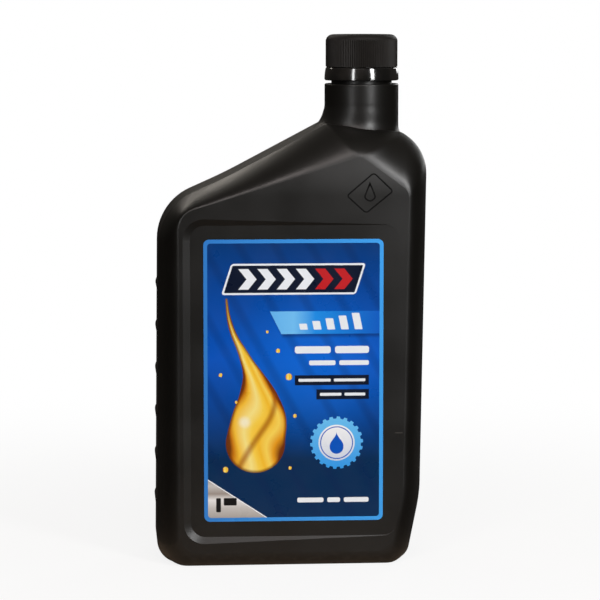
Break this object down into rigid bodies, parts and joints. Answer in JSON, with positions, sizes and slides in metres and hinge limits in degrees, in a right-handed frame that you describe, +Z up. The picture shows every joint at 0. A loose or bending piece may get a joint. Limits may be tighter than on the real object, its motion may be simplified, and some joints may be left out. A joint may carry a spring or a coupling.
{
  "type": "motor oil bottle",
  "caption": "Flat black plastic bottle with a slanted shoulder, an offset neck, a ribbed screw cap with a tamper band, and a recessed front panel with a blue film label.",
  "frame": {"origin": "centre of the bounding box at the level of the base", "axes": "+Z up, +X towards the neck's side, the label on the -Y side"},
  "size_m": [0.1144, 0.0581, 0.2222],
  "materials": {
    "bottle_plastic": "satin black polyethylene",
    "cap_plastic": "satin black polypropylene",
    "liner_foam": "white foam sheet",
    "band_plastic": "smooth black polypropylene",
    "label_film": "printed blue film"
  },
  "bodies": {
    "container": {"bottle": "bottle_plastic", "tamper_band": "band_plastic", "front_label": "label_film"},
    "seal": {"cap_liner": "liner_foam"},
    "closure": {"cap": "cap_plastic"}
  },
  "joints": [
    {"name": "cap_lift", "type": "slide", "parent": "container", "child": "seal", "axis": [0, 0, 1], "range_m": [0, 0.0128]},
    {"name": "cap_turn", "type": "hinge", "parent": "seal", "child": "closure", "pos_m": [0.03115, 0, 0.215], "axis": [0, 0, 1], "range_deg": [0, 1440]}
  ],
  "couplings": [
    {"joint": "cap_lift", "follows": "cap_turn", "m_per_rad": 0.00050532}
  ]
}
